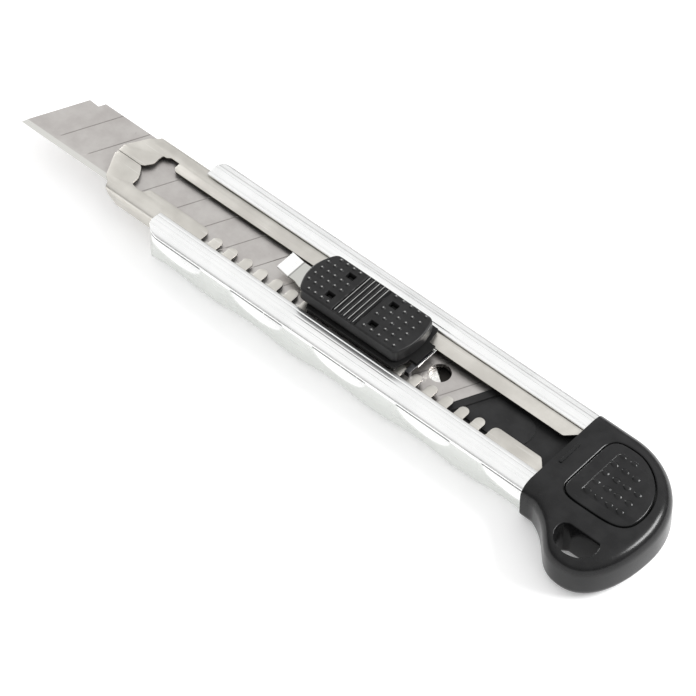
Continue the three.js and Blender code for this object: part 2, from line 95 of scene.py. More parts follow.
def settle(made):
    """Makes the result of a piece's modifiers its own mesh."""
    bpy.context.view_layer.update()
    final = made.evaluated_get(bpy.context.evaluated_depsgraph_get())
    mesh = bpy.data.meshes.new_from_object(final)
    made.modifiers.clear()
    made.data = mesh
    return smooth(made)


def combine(made, operation, *tools):
    """Cuts the tools from a piece with DIFFERENCE, or joins them to it with UNION."""
    for tool in tools:
        step = made.modifiers.new("step", "BOOLEAN")
        step.operation = operation
        step.solver = "EXACT"
        step.object = tool
    settle(made)
    for tool in tools:
        bpy.data.objects.remove(tool)
    return made


def loft(name, sections, soft_angle=35):
    """A closed solid skinned over sections that all have the same number of points."""
    count = len(sections[0])
    vertices = [point for section in sections for point in section]
    faces = []
    for first, section in ((0, sections[0]), (len(vertices) - count, sections[-1])):
        lid = tessellate_polygon([[Vector(point) for point in section]])
        faces += [tuple(first + corner for corner in corners) for corners in lid]
    for ring in range(len(sections) - 1):
        for i in range(count):
            j = (i + 1) % count
            low, high = ring * count, (ring + 1) * count
            faces.append((low + i, low + j, high + j, high + i))
    return piece(name, vertices, faces, soft_angle)


def arc(centre, radius, start, end, steps=8):
    """Points along an arc, its angles in degrees."""
    turn = [math.radians(start + (end - start) * i / steps) for i in range(steps + 1)]
    return [(centre[0] + radius * cos(a), centre[1] + radius * sin(a)) for a in turn]


def box_tool(x0, x1, y0, y1, z0, z1):
    """A block to cut or join with."""
    corners = [(x0, y0), (x1, y0), (x1, y1), (x0, y1)]
    return loft("tool", [[(x, y, z) for x, y in corners] for z in (z0, z1)])


def round_tool(x, y, radius, z0, z1):
    """An upright round bar to cut with."""
    steps = 48
    ring = arc((x, y), radius, 0, 360 * (steps - 1) / steps, steps - 1)
    return loft("tool", [[(px, py, z) for px, py in ring] for z in (z0, z1)])


CASING_HALF = 14.8
RAIL_TOP = 11.5
RAIL_INNER = 8.4
RAIL_UNDER = 10.75
RAIL_OUTER = 12.95  # where the rail's top meets its shoulder
RAIL_SHOULDER_Y, RAIL_SHOULDER_RISE = 13, 1.6
CROWN_Y, CROWN_FALL = 11.3, 0.05  # the rail's slight crown, and how fast it falls away
BEAD, BEAD_Z = 0.16, 10.92  # the rail's round inner edge
CREASE = 9.75
POCKET_HALF = 10.9
POCKET_FLOOR = 4.6
BACK_RADIUS = 2.6
WAVE_PITCH = 26.6
WAVE_DEPTH = 0.65
SCOOP_X, SCOOP_HALF, SCOOP_TALL, SCOOP_DEPTH = 50.0, 8.6, 4.8, 0.8
FIRST_HOLLOW = 52.5
NEAR_FLUTES = [(9.5, 0.16, 0.13), (11.0, 0.05, 0.16), (12.4, 0.1, 0.15), (12.9, 0.06, 0.12)]
FAR_FLUTES = [(9.35, 0.12, 0.13), (11.6, 0.22, 0.17), (12.5, 0.06, 0.14)]
casing_low, casing_high = node_box("casing")
CASING_REAR, CASING_FRONT = casing_low.x, casing_high.x
CORNER = 5  # length of the rounded front corners in plan
FRONT_HALF = 11.4  # half width of the casing's flat front edge


def rail_profile(flutes):
    """One side of the casing from the bottom's edge over the rail to its inner lip."""
    wall = arc((CASING_HALF - BACK_RADIUS, BACK_RADIUS), BACK_RADIUS, -90, 0)
    heights = [2.9 + 0.5 * i for i in range(13)]
    heights += [CREASE - drop for drop in (0.6, 0.36, 0.2, 0.12)]
    wall += [(CASING_HALF, z) for z in heights]
    shoulder = []
    for step in range(15):
        turn = step * pi / 28
        y = RAIL_SHOULDER_Y + (CASING_HALF - RAIL_SHOULDER_Y) * cos(turn)
        shoulder.append((y, CREASE + RAIL_SHOULDER_RISE * sin(turn)))
    top = []
    for i in range(60):
        y = RAIL_OUTER - i * (RAIL_OUTER - RAIL_INNER - 0.14) / 59
        z = RAIL_TOP - CROWN_FALL * (y - CROWN_Y) ** 2
        z -= sum(depth * exp(-(((y - middle) / wide) ** 2)) for middle, depth, wide in flutes)
        top.append((y, z - 0.15 * (y - 12) if y > 12 else z))
    bead = arc((RAIL_INNER + BEAD, BEAD_Z), BEAD, 100, 180, 5)
    inside = [(RAIL_INNER, RAIL_UNDER), (POCKET_HALF, RAIL_UNDER), (POCKET_HALF, POCKET_FLOOR)]
    return wall + shoulder + top + bead + inside


def finger_dip(x, z):
    """How far the finger side is scooped in: all the way up to the crease, and gone above it."""
    if z > CREASE - 0.1:
        return 0
    wave = 0.5 + 0.5 * cos(2 * pi * (x - FIRST_HOLLOW) / WAVE_PITCH)
    along = (x - SCOOP_X + WAVE_PITCH / 2) % WAVE_PITCH - WAVE_PITCH / 2
    reach = (along / SCOOP_HALF) ** 2 + ((CREASE - z) / SCOOP_TALL) ** 2
    return WAVE_DEPTH * wave + SCOOP_DEPTH * max(0, 1 - reach) ** 0.6


def plan_limit(x):
    """The casing's half width in plan, rounded at its front corners."""
    into = max(0, (x - (CASING_FRONT - CORNER)) / CORNER)
    return FRONT_HALF + (CASING_HALF - FRONT_HALF) * sqrt(max(0, 1 - into**2))


def casing_section(x):
    """The casing's outline across its length at x."""
    near, far = rail_profile(NEAR_FLUTES), rail_profile(FAR_FLUTES)
    limit = plan_limit(x)
    ring = [(x, min(y - finger_dip(x, z) * (y > POCKET_HALF), limit), z) for y, z in near]
    ring += [(x, -min(y, limit), z) for y, z in reversed(far)]
    return ring


SPACING = 0.85  # between the sections along the straight part
straight_count = int((CASING_FRONT - CORNER - CASING_REAR) / SPACING) + 1
stations = [CASING_REAR + SPACING * i for i in range(straight_count)]
stations += [CASING_FRONT - CORNER + CORNER * sin(pi * i / 36) for i in range(1, 19)]
casing = loft("casing_shell", [casing_section(x) for x in stations], soft_angle=28)

RIVET_X, RIVET_Y, RIVET_HOLE = 56, 6, 1.7
HEAD_HOLE, HEAD_DEEP = 3, 1.1
WELL_FRONT, WELL_HALF, WELL_FLOOR = 51.5, 9, 1.8  # the well for the spring under the spares
rivet_wells = [round_tool(RIVET_X, side * RIVET_Y, HEAD_HOLE, -1, HEAD_DEEP) for side in (-1, 1)]
rivet_wells += [round_tool(RIVET_X, side * RIVET_Y, RIVET_HOLE, -1, 5) for side in (-1, 1)]
well = box_tool(CASING_REAR - 1, WELL_FRONT, -WELL_HALF, WELL_HALF, WELL_FLOOR, 5)
combine(casing, "DIFFERENCE", well, *rivet_wells)


class Wire:
    """An output in a finish's nodes. Sums and products of wires add their Math nodes."""

    def __init__(self, tree, socket=None):
        self.tree, self.socket = tree, socket

    def node(self, kind, settings=(), inputs=(), output=0):
        """Adds a node, sets it up, fills or links its sockets, and gives one of its outputs."""
        made = self.tree.nodes.new("ShaderNode" + kind)
        for key, value in dict(settings).items():
            setattr(made, key, value)
        for key, value in dict(inputs).items():
            if isinstance(value, Wire):
                self.tree.links.new(value.socket, made.inputs[key])
            else:
                made.inputs[key].default_value = value
        return Wire(self.tree, made.outputs[output])

    def math(self, operation, *values):
        return self.node("Math", {"operation": operation}, dict(enumerate(values)))

    def __add__(self, other):
        return self.math("ADD", self, other)

    def __radd__(self, other):
        return self.math("ADD", other, self)

    def __sub__(self, other):
        return self.math("SUBTRACT", self, other)

    def __rsub__(self, other):
        return self.math("SUBTRACT", other, self)

    def __mul__(self, other):
        return self.math("MULTIPLY", self, other)

    def stretched(self, x, y, z):
        """Coordinates scaled along each axis."""
        return self.node("VectorMath", {"operation": "MULTIPLY"}, {0: self, 1: (x, y, z)})

    def noise(self, scale, detail, roughness):
        """Even cloud between 0 and 1 over these coordinates."""
        settings = {"Scale": scale, "Detail": detail, "Roughness": roughness, "Vector": self}
        return self.node("TexNoise", inputs=settings)

    def band(self, low, high):
        """A mask that runs from 0 at low to 1 at high."""
        limits = {0: self, 1: low, 2: high, 3: 0.0, 4: 1.0}
        return self.node("MapRange", {"interpolation_type": "SMOOTHSTEP"}, limits)

    def tint(self, low, high):
        """The mix of two colours that this mask gives."""
        low, high = (tone if isinstance(tone, Wire) else (*tone, 1) for tone in (low, high))
        return self.node("Mix", {"data_type": "RGBA"}, {0: self, 6: low, 7: high}, output=2)

    def bump(self, distance, strength):
        """A surface direction from heights; distance is in millimetres."""
        inputs = {"Height": self, "Distance": distance * MM, "Strength": strength}
        return self.node("Bump", inputs=inputs)


class Finish:
    """A material with one shader: its even values, then what changes over its surface."""

    def __init__(self, name, **even):
        self.material = bpy.data.materials.new(name)
        self.material.use_nodes = True
        self.tree = self.material.node_tree
        self.shader = self.tree.nodes["Principled BSDF"]
        for key, value in even.items():
            self.shader.inputs[key.replace("_", " ")].default_value = value
        place = Wire(self.tree).node("TexCoord", output=3)
        self.place = place.stretched(1 / MM, 1 / MM, 1 / MM)

    def axis(self, number):
        """One coordinate in millimetres."""
        return self.place.node("SeparateXYZ", inputs={0: self.place}, output=number)

    def feed(self, **wires):
        for key, wire in wires.items():
            self.tree.links.new(wire.socket, self.shader.inputs[key.replace("_", " ")])
        return self.material


def alloy_finish():
    """Bright polished alloy: drawn lines, cloudy polish, tiny pits, painted shade on the finger
    side.
    """
    finish = Finish("polished_alloy", Metallic=1.0)
    lines = finish.place.stretched(0.06, 3.2, 3.2).noise(1.0, 4, 0.6)
    cloud = finish.place.noise(0.09, 3, 0.5)
    pits = finish.place.noise(2.6, 2, 0.5).band(0.72, 0.8)
    x, y, z = (finish.axis(number) for number in range(3))
    shifted = x - (SCOOP_X - WAVE_PITCH / 2)
    along = x.math("FLOORED_MODULO", shifted, WAVE_PITCH) - WAVE_PITCH / 2
    below = CREASE - z
    reach = along * along * SCOOP_HALF**-2 + below * below * SCOOP_TALL**-2
    # Painted shade: the satin mask greys the finger side below the crease, between the scoops.
    side = y.band(12.6, 13.2) * below.band(-0.05, 0.05)
    satin = side * reach.band(0.9, 1.05)
    # Painted shadow: a broken dark line just above the crease over each scoop, where the rail
    # overhangs.
    broken = finish.place.stretched(1.4, 0.0, 0.0).noise(1.0, 2, 0.6).band(0.3, 0.42)
    line = below.band(-0.5, -0.38) * below.band(0.05, -0.05) * y.band(13.5, 14.0)
    ends = (along * along).band((SCOOP_HALF + 0.3) ** 2, (SCOOP_HALF - 0.6) ** 2)
    crease = line * broken * ends
    tone = cloud.band(0.25, 0.75).tint((0.9, 0.905, 0.9), (0.97, 0.972, 0.967))
    drawn = (lines.band(0.55, 0.8) * 0.5).tint(tone, (0.68, 0.69, 0.69))
    # The painted shade between the scoops is laid into the colour here.
    sides = (satin * 0.75).tint(drawn, (0.69, 0.71, 0.68))
    # The painted crease shadow is laid into the colour here.
    shaded = (crease * 0.85).tint(sides, (0.05, 0.05, 0.05))
    rough = 0.2 + lines.band(0.2, 0.8) * 0.14 + cloud * 0.08 + pits * 0.2
    relief = lines * 0.6 + cloud * 1.2 - pits
    return finish.feed(Base_Color=shaded, Roughness=rough, Normal=relief.bump(0.012, 0.7))


def dress(made, material, body, node):
    """Gives a piece its finish and its body, and hides the node that it stands for."""
    made.data.materials.clear()
    made.data.materials.append(material)
    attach(made, body)
    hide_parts(node)


dress(casing, alloy_finish(), "handle", "casing")

# ---- Blade channel -------------------------------------------------------------------
# One blank of 0.6 mm stainless sheet, cut with its slot, comb of teeth and window, then
# folded up from the floor so that its two lips meet in a seam at the pointed nose.
SHEET = 0.6
CHANNEL_TOP, CHANNEL_FLOOR, CHANNEL_HALF = 10.5, 4.9, 10.6
BEND = 1.2  # outside radius of the folds
MID = BEND - SHEET / 2
FLAT = CHANNEL_HALF - BEND
FOLD = MID * pi / 2
WALL = CHANNEL_TOP - CHANNEL_FLOOR - 2 * BEND
LOW_FOLD_END = FLAT + FOLD
HIGH_FOLD = LOW_FOLD_END + WALL
HIGH_FOLD_END = HIGH_FOLD + FOLD
SEAM = HIGH_FOLD_END + FLAT
NOSE, SHOULDER, CHIN = 82.6, 77.4, 72.8
CHANNEL_REAR = -60.2
TOOTH_FIRST, TOOTH_PITCH, TOOTH_COUNT = 44.2, 4.943, 18
TOOTH_HALF, TOOTH_TIP, TOOTH_ROOT = 1.42, 4.55, 8.0
LIP_NEAR, LIP_FAR = 4.25, -4.05


def rounded(corners):
    """A closed outline from (x, y, radius) corners, each rounded by its radius."""
    steps = 4
    outline = []
    for i, (x, y, radius) in enumerate(corners):
        here = Vector((x, y))
        before = Vector(corners[i - 1][:2]) - here
        after = Vector(corners[(i + 1) % len(corners)][:2]) - here
        reach = min(radius, before.length * 0.48, after.length * 0.48)
        if reach < 0.02:
            outline.append((x, y))
            continue
        start, end = here + before.normalized() * reach, here + after.normalized() * reach
        for k in range(steps + 1):
            t = k / steps
            point = start * (1 - t) ** 2 + here * (2 * t * (1 - t)) + end * t**2
            outline.append((point.x, point.y))
    return outline


def grown(outline, reach):
    """The outline moved outwards by reach along its own mitres; negative moves it in."""
    points = [Vector(p) for p in outline]
    area = sum(points[i - 1].cross(points[i]) for i in range(len(points)))
    way = 1 if area > 0 else -1
    moved = []
    for i, here in enumerate(points):
        before, after = here - points[i - 1], points[(i + 1) % len(points)] - here
        sides = [Vector((d.y, -d.x)).normalized() for d in (before, after)]
        mitre = sides[0] + sides[1]
        moved.append(here + mitre * (way * reach / max(mitre.dot(sides[0]), 0.4)))
    return [(p.x, p.y) for p in moved]


def stacked(name, outline, levels):
    """A closed solid from one outline grown by a little at each height: levels are (grow, z)."""
    sections = []
    for grow, z in levels:
        sections.append([(x, y, z(x, y) if callable(z) else z) for x, y in grown(outline, grow)])
    return loft(name, sections)


def softened(low, high, radius):
    """Levels for stacked(): straight sides between two rounded edges."""
    turns = (0, pi / 4, pi / 2)
    bottom = [(-radius * (1 - sin(a)), low + radius * (1 - cos(a))) for a in turns]
    top = [(-radius * (1 - cos(a)), high - radius * (1 - sin(a))) for a in turns]
    return bottom + top


def lip(y):
    """Where a height on the lip lies on the flat blank, measured out from the floor's middle."""
    return SEAM - abs(y)


def near_edge():
    """The near lip's free edge from the rear: flare, long lip, teeth, front lip, window, seam."""
    edge = [(CHANNEL_REAR, 7, 0), (-57.6, LIP_NEAR, 0.5)]
    last_gap = TOOTH_FIRST - TOOTH_PITCH * TOOTH_COUNT + TOOTH_HALF
    edge += [(last_gap, LIP_NEAR, 2.0), (last_gap, TOOTH_ROOT, 0.3)]
    for i in reversed(range(TOOTH_COUNT)):
        x = TOOTH_FIRST - TOOTH_PITCH * i
        edge.append((x - TOOTH_HALF, TOOTH_ROOT, 0.3))
        lobe = arc((x, TOOTH_TIP + TOOTH_HALF), TOOTH_HALF, 180, 360, 12)
        edge += [(px, py, 0) for px, py in lobe]
        edge.append((x + TOOTH_HALF, TOOTH_ROOT, 0.3))
    front_lip = TOOTH_FIRST + TOOTH_PITCH - TOOTH_HALF
    edge += [(front_lip, TOOTH_ROOT, 0.3), (front_lip, LIP_NEAR, 2.0)]
    edge += [(67.7, LIP_NEAR, 0.6), (68.7, 6.15, 0.5), (70.9, 6.15, 0.3), (72.5, 5.8, 0.3)]
    return edge + [(72.6, 3.5, 0.4), (73.1, 2.5, 0.4), (74.4, 0.5, 0.3), (75.1, 0.05, 0.1)]


def far_edge():
    """The far lip's free edge, from the seam back to the rear flare."""
    edge = [(75.1, -0.05, 0.1), (74.3, -0.5, 0.3), (73.0, -2.3, 0.4), (73.1, -4.6, 0.4)]
    edge += [(72.9, -5.85, 0.3), (71.9, -5.9, 0.3), (71.0, -6.65, 0.3), (68.2, -6.65, 0.3)]
    edge += [(68.2, -5.0, 0.3), (67.3, LIP_FAR, 0.4)]
    return edge + [(-57.2, LIP_FAR, 0.5), (CHANNEL_REAR, -7, 0)]


def channel_blank():
    """The flat blank: x along the knife, u across it from the floor's middle."""
    blank = [(x, lip(y), r) for x, y, r in near_edge()]
    blank += [(NOSE, lip(0.05), 0.1), (NOSE, lip(1.4), 0.3), (79.3, lip(8), 0.5)]
    front = [(SHOULDER, HIGH_FOLD_END), (SHOULDER - 0.2, HIGH_FOLD + 0.2)]
    front += [(76.3, LOW_FOLD_END + 1.6), (74.3, LOW_FOLD_END + 0.2), (CHIN, FLAT)]
    blank += [(x, u, 0.9) for x, u in front]
    blank += [(x, -u, 0.9) for x, u in reversed(front)]
    blank += [(79.3, -lip(8), 0.5), (NOSE + 0.15, -lip(2.3), 0.3), (NOSE - 0.1, -lip(0.05), 0.1)]
    return rounded(blank + [(x, -lip(y), r) for x, y, r in far_edge()])


def folded(x, u, out):
    """Carries a point of the blank, out from its middle surface, to its place on the channel."""
    side, across = (1 if u >= 0 else -1), abs(u)
    if across <= FLAT:
        return x, u, CHANNEL_FLOOR + SHEET / 2 - out
    if across <= LOW_FOLD_END:
        turn = (across - FLAT) / MID
        reach = MID + out
        return x, side * (FLAT + reach * sin(turn)), CHANNEL_FLOOR + BEND - reach * cos(turn)
    if across <= HIGH_FOLD:
        return x, side * (FLAT + MID + out), CHANNEL_FLOOR + BEND + across - LOW_FOLD_END
    if across <= HIGH_FOLD_END:
        turn = (across - HIGH_FOLD) / MID
        reach = MID + out
        return x, side * (FLAT + reach * cos(turn)), CHANNEL_TOP - BEND + reach * sin(turn)
    return x, side * (SEAM - across), CHANNEL_TOP - SHEET / 2 + out


def bent_blank(name, blank):
    """The blank as a sheet, creased where it folds and then bent up."""
    flat = stacked(name, blank, softened(-SHEET / 2, SHEET / 2, 0.1))
    work = bmesh.new()
    work.from_mesh(flat.data)
    bmesh.ops.triangulate(work, faces=work.faces)
    creases = [start + FOLD * i / 6 for start in (FLAT, HIGH_FOLD) for i in range(7)]
    for crease in creases:
        for side in (-1, 1):
            parts = [*work.verts, *work.edges, *work.faces]
            line = {"plane_co": (0, side * crease * MM, 0), "plane_no": (0, 1, 0)}
            bmesh.ops.bisect_plane(work, geom=parts, dist=0.001 * MM, **line)
    for vertex in work.verts:
        vertex.co = Vector(folded(*(vertex.co / MM))) * MM
    work.to_mesh(flat.data)
    work.free()
    return smooth(flat, 28)


channel = bent_blank("folded_channel", channel_blank())
channel_holes = [round_tool(RIVET_X, side * RIVET_Y, RIVET_HOLE, 4, 6) for side in (-1, 1)]
combine(channel, "DIFFERENCE", *channel_holes)


def channel_finish():
    """Satin stainless sheet: rolled grain, cloudy warm tone, rubbed scratches, painted shade
    inside.
    """
    finish = Finish("satin_stainless", Metallic=1.0)
    grain = finish.place.stretched(0.12, 5.0, 5.0).noise(1.0, 5, 0.65)
    cloud = finish.place.noise(0.12, 3, 0.55)
    rubbed = finish.place.stretched(0.05, 1.7, 1.0).noise(1.0, 2, 0.4).band(0.66, 0.72)
    tone = cloud.band(0.25, 0.75).tint((0.56, 0.54, 0.50), (0.68, 0.66, 0.615))
    marked_colour = (rubbed * 0.3).tint(tone, (0.85, 0.84, 0.81))
    beside, z = finish.axis(1).math("ABSOLUTE", finish.axis(1)), finish.axis(2)
    # Painted shade: inside the channel, the lips' undersides and edges, the walls and the floor
    # are painted dark.
    shade_under_lips = z.band(CHANNEL_TOP - 0.08, CHANNEL_TOP - 0.14)
    shade_under_lips = shade_under_lips * beside.band(CHANNEL_HALF - 0.85, CHANNEL_HALF - 0.9)
    shade_in_walls = z.band(CHANNEL_TOP - 0.55, CHANNEL_TOP - 0.65)
    shade_in_walls = shade_in_walls * beside.band(CHANNEL_HALF - 0.54, CHANNEL_HALF - 0.6)
    above_floor = z.band(CHANNEL_FLOOR + 0.2, CHANNEL_FLOOR + 0.3)
    inside = z.math("MAXIMUM", shade_under_lips, shade_in_walls) * above_floor
    colour = inside.tint(marked_colour, (0.075, 0.07, 0.065))
    rough = 0.27 + grain.band(0.25, 0.75) * 0.12 + cloud * 0.1 - rubbed * 0.06 + inside * 0.2
    return finish.feed(Base_Color=colour, Roughness=rough, Normal=(grain + cloud).bump(0.006, 0.6))


dress(channel, channel_finish(), "handle", "blade_channel")

# ---- Rivets, pins and springs --------------------------------------------------------
# Turned and pressed parts in spring steel, bright apart from the blued click spring, with
# the plate that lifts the spares. Their frame shapes are kept, edges broken, since most only
# show through the slot. The bowed leaf under the plate is copied into a piece of its own.


def spring_finish():
    """Bright spring steel: fine polish marks over an almost mirror surface."""
    finish = Finish("bright_spring_steel", Metallic=1.0)
    marks = finish.place.stretched(2.0, 0.3, 2.0).noise(1.0, 3, 0.5)
    cloud = finish.place.noise(0.3, 2, 0.5)
    tone = cloud.band(0.3, 0.7).tint((0.78, 0.77, 0.74), (0.93, 0.925, 0.9))
    rough = 0.2 + marks.band(0.3, 0.8) * 0.1 + cloud * 0.05
    return finish.feed(Base_Color=tone, Roughness=rough, Normal=marks.bump(0.003, 0.25))


def broken_edges(node, material, width=0.08):
    """Keeps a node's own shape, breaks its sharp edges, and gives it its finish."""
    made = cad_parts[node]
    weld = made.modifiers.new("weld", "WELD")
    weld.merge_threshold = 0.002 * MM
    if width:
        bevel = made.modifiers.new("broken edges", "BEVEL")
        bevel.width = width * MM
        bevel.segments = 2
        bevel.limit_method = "ANGLE"
        bevel.angle_limit = math.radians(38)
        bevel.use_clamp_overlap = True
    made.data.materials.clear()
    made.data.materials.append(material)


def blued_finish():
    """Spring steel left blue-black from its tempering, a little mottled."""
    finish = Finish("blued_spring_steel", Metallic=1.0)
    cloud = finish.place.noise(0.8, 3, 0.5)
    tone = cloud.band(0.3, 0.7).tint((0.05, 0.052, 0.056), (0.13, 0.13, 0.135))
    return finish.feed(Base_Color=tone, Roughness=0.3 + cloud * 0.1)


bright = spring_finish()
for node in ("channel_rivet_far", "channel_rivet_near", "blade_pin"):
    broken_edges(node, bright)
for node in ("slider_rivet_front", "slider_rivet_rear", "cap_clip", "lifter_plate"):
    broken_edges(node, bright, 0.05)
broken_edges("detent_spring", blued_finish())

leaf = bpy.data.objects.new("bowed_leaf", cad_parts["lifter_spring"].data.copy())
bpy.context.scene.collection.objects.link(leaf)
dress(leaf, bright, "handle", "lifter_spring")
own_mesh(leaf)

# ---- Blades --------------------------------------------------------------------------
# Snap-off blades in carbon steel, 18 mm wide and 0.5 mm thick: stamped, scored across on
# the slant, then ground along one edge, which leaves a paler strip with marks across it.
EDGE_Y = node_box("working_blade")[1].y
GRIND = 1.5
BLADE_LEAN = math.tan(math.radians(25.8))
SCORE_PITCH = 9.2


def blade_finish(name, tip):
    """Grey carbon steel with a ground strip, dark score lines on the slant, and a few spots."""
    finish = Finish(name, Metallic=1.0)
    x, y = finish.axis(0), finish.axis(1)
    slanted = tip - x - (EDGE_Y - y) * BLADE_LEAN
    from_score = x.math("PINGPONG", slanted, SCORE_PITCH / 2)
    scored = slanted.band(SCORE_PITCH / 2, SCORE_PITCH * 0.6)
    score = from_score.band(0.24, 0.1) * y.band(EDGE_Y - 2.6, EDGE_Y - 3.6) * scored
    across = finish.place.stretched(3.6, 0.5, 1.0).noise(1.0, 4, 0.6)
    along = finish.place.stretched(0.15, 3.0, 1.0).noise(1.0, 4, 0.6)
    cloud = finish.place.noise(0.16, 4, 0.6)
    spots = finish.place.noise(1.1, 2, 0.5).band(0.7, 0.78)
    ground = y.band(EDGE_Y - GRIND - 0.15, EDGE_Y - GRIND + 0.15)
    tone = cloud.band(0.25, 0.75).tint((0.47, 0.445, 0.43), (0.565, 0.545, 0.525))
    lined = (score * 0.6).tint(tone, (0.16, 0.15, 0.14))
    marked = (spots * 0.35).tint(lined, (0.33, 0.3, 0.28))
    colour = ground.tint(marked, (0.68, 0.675, 0.645))
    rough = 0.3 + cloud * 0.12 + along.band(0.3, 0.8) * 0.1 - ground * 0.08
    relief = along * (1 - ground) + across * ground * 1.6
    return finish.feed(Base_Color=colour, Roughness=rough, Normal=relief.bump(0.006, 0.7))


for node in ("working_blade", "spare_blade_upper", "spare_blade_lower"):
    steel = blade_finish(node + "_steel", node_box(node)[1].x)
    broken_edges(node, steel, width=0)

# ---- Magazine tongue -----------------------------------------------------------------
# A black moulding that fills the magazine behind the spares. It has a slanted ridge at
# its front and a raised D-shaped land on its top, and it comes out with the end cap.


def moulded_finish(name, colour, rough, grain=0.014, highlight_from=None):
    """Black moulded plastic: fine grain, glossier handled patches, a painted highlight on the
    crests.
    """
    finish = Finish(name, Specular_IOR_Level=0.27, IOR=1.49)
    grit = finish.place.noise(7.0, 3, 0.6)
    cloud = finish.place.noise(0.22, 3, 0.55)
    scuff = finish.place.stretched(0.4, 1.3, 1.0).noise(1.0, 3, 0.6).band(0.62, 0.75)
    pale = tuple(tone * 1.35 + 0.004 for tone in colour)
    tone = cloud.band(0.3, 0.7).tint(colour, pale)
    marked_colour = (scuff * 0.25).tint(tone, tuple(2.2 * value for value in pale))
    if highlight_from:
        # Painted highlight: crests above the given height are painted pale grey.
        crests = finish.axis(2).band(highlight_from, highlight_from + 0.09) * 0.9
        marked_colour = crests.tint(marked_colour, (0.46, 0.46, 0.45))
    roughness = rough + grit.band(0.2, 0.8) * 0.08 - cloud * 0.08 + scuff * 0.06
    relief = (grit + cloud * 0.4).bump(grain, 0.6)
    return finish.feed(Base_Color=marked_colour, Roughness=roughness, Normal=relief)


SOFT_BLACK = (0.0085, 0.0085, 0.0088)
black = moulded_finish("grained_black_moulding", SOFT_BLACK, 0.4)
broken_edges("magazine_tongue", black, 0.12)

# ---- Slider carrier ------------------------------------------------------------------
# A folded strip of bright steel under the slider. Its front end is bent up into a thumb
# tab, and its rear edge and sides run in the channel under the lips.
TAB_FOLD, REAR_EDGE = 23.7, -17.2


def carrier_finish():
    """Painted light: a bright thumb tab, a greyer flat, shade in the fold, a highlight on the rear
    edge.
    """
    finish = Finish("carrier_steel_painted_light", Metallic=1.0)
    x = finish.axis(0)
    marks = finish.place.stretched(2.0, 0.3, 2.0).noise(1.0, 3, 0.5)
    # Painted light: the thumb tab is painted bright as if lit, and the flat behind its fold is
    # greyer.
    tone = x.band(TAB_FOLD - 0.1, TAB_FOLD + 0.1).tint((0.6, 0.6, 0.57), (0.96, 0.96, 0.95))
    # Painted shade darkens the fold.
    fold_shade = x.band(TAB_FOLD - 0.5, TAB_FOLD - 0.3) * x.band(TAB_FOLD + 0.1, TAB_FOLD - 0.1)
    # A painted highlight brightens the strip along the rear edge.
    rear = x.band(REAR_EDGE, REAR_EDGE - 0.4)
    colour = (fold_shade * 0.7).tint(rear.tint(tone, (0.92, 0.92, 0.9)), (0.25, 0.25, 0.24))
    relief = marks.bump(0.003, 0.25)
    return finish.feed(Base_Color=colour, Roughness=0.24 + marks * 0.1, Normal=relief)


broken_edges("slider_carrier", carrier_finish(), 0.1)

# ---- Slider base ---------------------------------------------------------------------
# The dark lower half of the slider, snapped to the button with four hooks and riveted
# to the carrier. Only its rear end and the shadowed line along its sides show.
base_black = moulded_finish("dark_base_moulding", (0.003, 0.003, 0.003), 0.6)
broken_edges("slider_base", base_black, 0.15)

# ---- Slider button -------------------------------------------------------------------
# A hollow black moulding with two arched ends: five cross ribs in the middle, a field of
# small round studs at each end, and four square holes through which the hooks show.
BUTTON_TOP, BUTTON_SKIRT, BUTTON_HALF = 16.4, 12.6, 7.1
BUTTON_FRONT, BUTTON_REAR = 18.5, -15.7
FRONT_ARCH, REAR_ARCH = 2.4, 1.6
BUTTON_CORNER = 1.1
BUTTON_ROUND = 0.55
RIB_MIDDLE, RIB_PITCH, RIB_COUNT, RIB_RISE, RIB_SINK = 2.4, 1.46, 5, 0.38, 0.55
HOOK_X, HOOK_Y = 6.85, 3.8
HOLE_X, HOLE_Y, HOLE_CORNER = 1.15, 0.8, 0.2  # half sizes of the holes over the hooks
STUD_RADIUS, STUD_RISE, STUD_ROW = 0.52, 0.34, 2.35
FRONT_STUDS = [(8.15 + 2.05 * i, -6.05 + STUD_ROW * j) for i in range(5) for j in range(6)]
REAR_STUDS = [(-3.05 - 2.38 * i, -6.3 + STUD_ROW * j) for i in range(5) for j in range(6)]
hook_places = [(RIB_MIDDLE + a * HOOK_X, b * HOOK_Y) for a in (-1, 1) for b in (-1, 1)]


def corner_setback(across):
    """How far an end is drawn in by the button's round corners."""
    into = max(0, across - (BUTTON_HALF - BUTTON_CORNER))
    return BUTTON_CORNER - sqrt(max(0, BUTTON_CORNER**2 - into**2))


def button_ends(y):
    """Where the button's rear and front lie at this distance from its middle line."""
    share = (y / BUTTON_HALF) ** 2
    setback = corner_setback(abs(y))
    return BUTTON_REAR + REAR_ARCH * share + setback, BUTTON_FRONT - FRONT_ARCH * share - setback


def stud_places():
    """The studs that lie on the button and clear of its holes."""
    kept = []
    for x, y in FRONT_STUDS + REAR_STUDS:
        rear, front = button_ends(y)
        clear = all(abs(x - hx) > 1.6 or abs(y - hy) > 1.2 for hx, hy in hook_places)
        if rear + 0.9 < x < front - 0.7 and clear:
            kept.append((x, y))
    return kept


def rib_height(x):
    """Round-crested ribs with sunk gaps between them."""
    offset = (x - RIB_MIDDLE) / RIB_PITCH
    if abs(offset) > RIB_COUNT / 2 + 0.1:
        return 0
    crest = (0.5 + 0.5 * cos(2 * pi * offset)) ** 2
    fade = min(1, max(0, (RIB_COUNT / 2 + 0.1 - abs(offset)) / 0.25))
    return fade * (crest * (RIB_RISE + RIB_SINK) - RIB_SINK)


